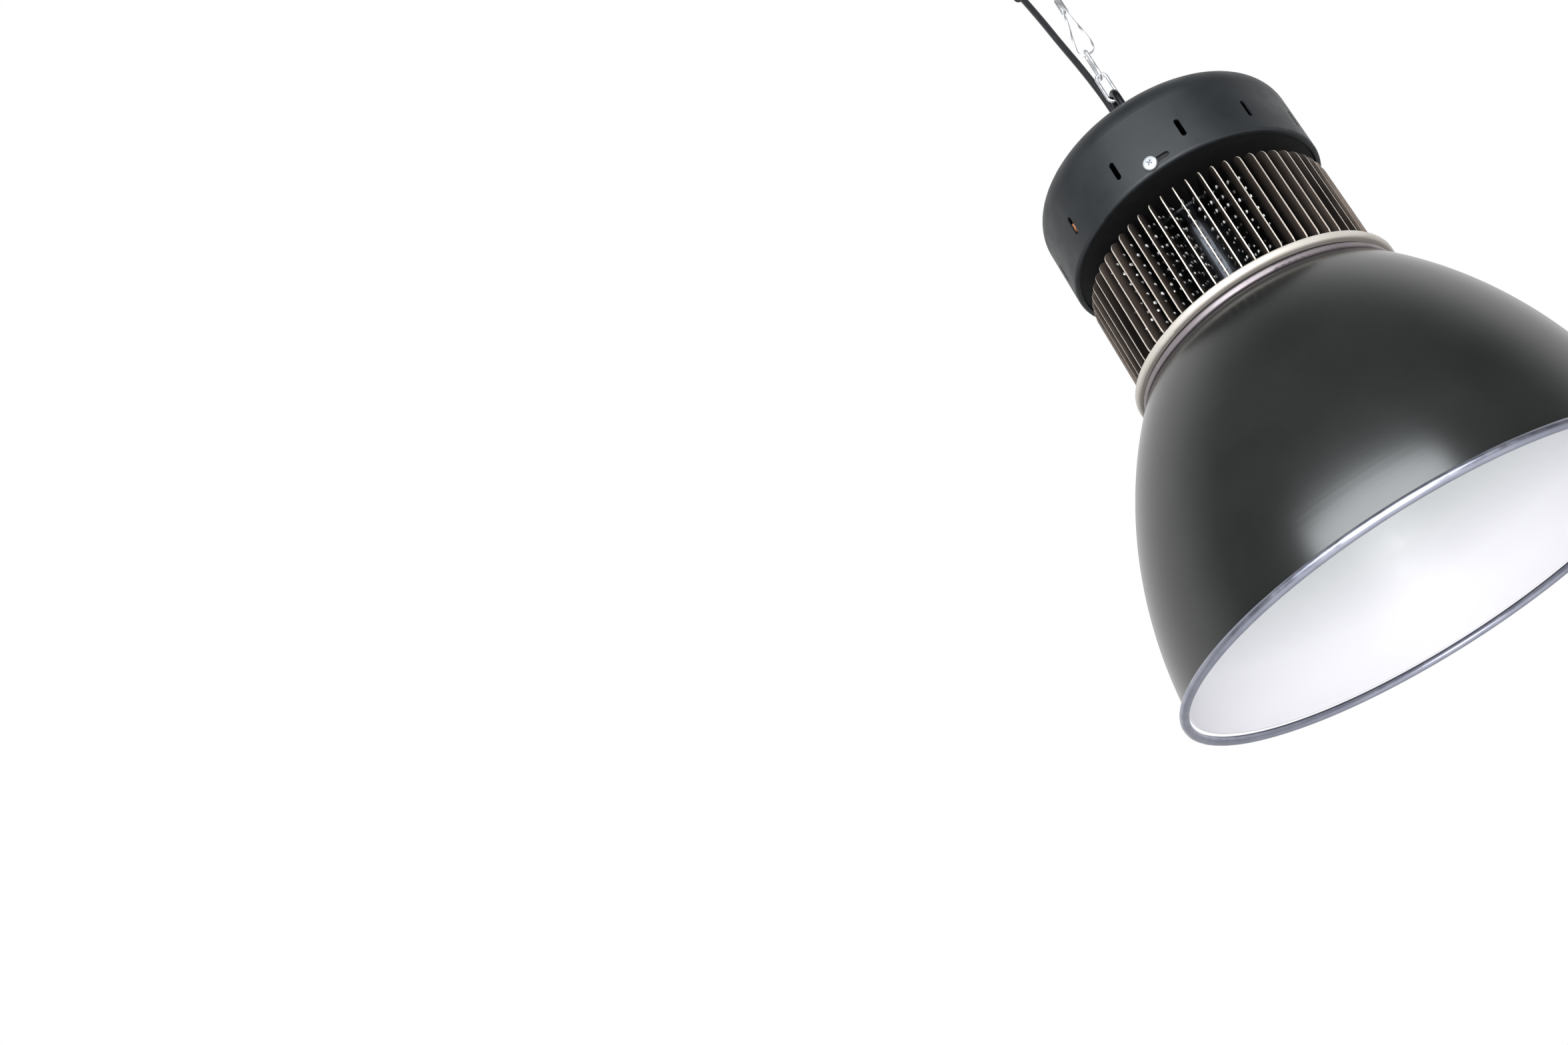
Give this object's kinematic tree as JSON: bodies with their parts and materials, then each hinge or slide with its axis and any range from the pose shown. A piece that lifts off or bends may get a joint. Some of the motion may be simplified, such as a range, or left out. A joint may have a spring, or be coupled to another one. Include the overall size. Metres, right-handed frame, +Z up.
{
  "type": "high bay light",
  "caption": "Hanging high bay light: drum driver housing, radial cooling fins, spun dome reflector, chain links, wire rope and mains cable.",
  "frame": {"origin": "centre of the ceiling fitting's top face, on the axis that the light hangs on", "axes": "+Z up along the hanging axis; +Y towards the cable gland; +X to the right of that seen from the front"},
  "size_m": [0.4099, 0.41, 0.7362],
  "materials": {
    "black_powder_coat": "satin black powder coat",
    "black_anodised": "black anodised sheet with bare bright edges",
    "champagne_anodised": "champagne anodised, satin",
    "rose_anodised": "rose grey anodised",
    "spun_aluminium": "bare spun aluminium, bright",
    "white_paint": "white paint",
    "bright_steel": "bright zinc-plated steel",
    "zinc_steel": "zinc-plated steel",
    "black_steel": "black coated steel",
    "nickel_plate": "satin nickel plate",
    "bare_aluminium": "bare aluminium",
    "driver_can": "painted can",
    "black_plastic": "moulded black nylon",
    "white_plastic": "moulded white plastic",
    "cable_sheath": "black cable sheath",
    "contact_brass": "brass contacts",
    "gasket_rubber": "black sealing rubber",
    "led_phosphor": "LED board with a yellow phosphor disc",
    "clear_glass": "clear toughened glass"
  },
  "bodies": {
    "suspension": {"ceiling_fitting": "nickel_plate", "suspension_wire": "zinc_steel", "ferrule": "bare_aluminium"},
    "upper_link": {"chain_link_upper": "zinc_steel"},
    "lower_link": {"chain_link_lower": "zinc_steel"},
    "light": {"hanging_eye": "black_steel", "eye_washer": "zinc_steel", "eye_inner_washer": "zinc_steel", "eye_nut": "zinc_steel", "eye_lock_nut": "zinc_steel", "driver_housing": "black_powder_coat", "housing_screws": "bright_steel", "driver_plate": "black_powder_coat", "led_driver": "driver_can", "driver_screws": "bright_steel", "terminal_block": "black_plastic", "cable_gland": "black_plastic", "gland_cap": "black_plastic", "gland_lock_nut": "black_plastic", "mains_cable": "cable_sheath", "connector_nut": "black_plastic", "cable_connector": "black_plastic", "connector_contacts": "contact_brass", "spacer_posts": "black_steel", "fin_cover": "black_powder_coat", "heat_sink_fins": "black_anodised", "heat_sink_base": "champagne_anodised", "base_gasket": "gasket_rubber", "reflector_collar": "rose_anodised", "reflector": "black_powder_coat", "rim_bead": "spun_aluminium", "glass_ring": "white_paint", "cover_glass": "clear_glass", "reflector_screws": "bright_steel", "thermal_pad": "gasket_rubber", "led_board": "led_phosphor", "led_holder": "white_plastic", "holder_screws": "bright_steel", "led_leads": "cable_sheath"}
  },
  "joints": [
    {"name": "upper_link_swing", "type": "hinge", "parent": "suspension", "child": "upper_link", "pos_m": [0, 0, -0.1908], "axis": [1, 0, 0], "range_deg": [-7, 7]},
    {"name": "lower_link_swing", "type": "hinge", "parent": "upper_link", "child": "lower_link", "pos_m": [0, 0, -0.21715], "axis": [0, 1, 0], "range_deg": [-12, 12]},
    {"name": "light_swing", "type": "hinge", "parent": "lower_link", "child": "light", "pos_m": [0, 0, -0.243], "axis": [1, 0, 0], "range_deg": [-7, 7]}
  ]
}
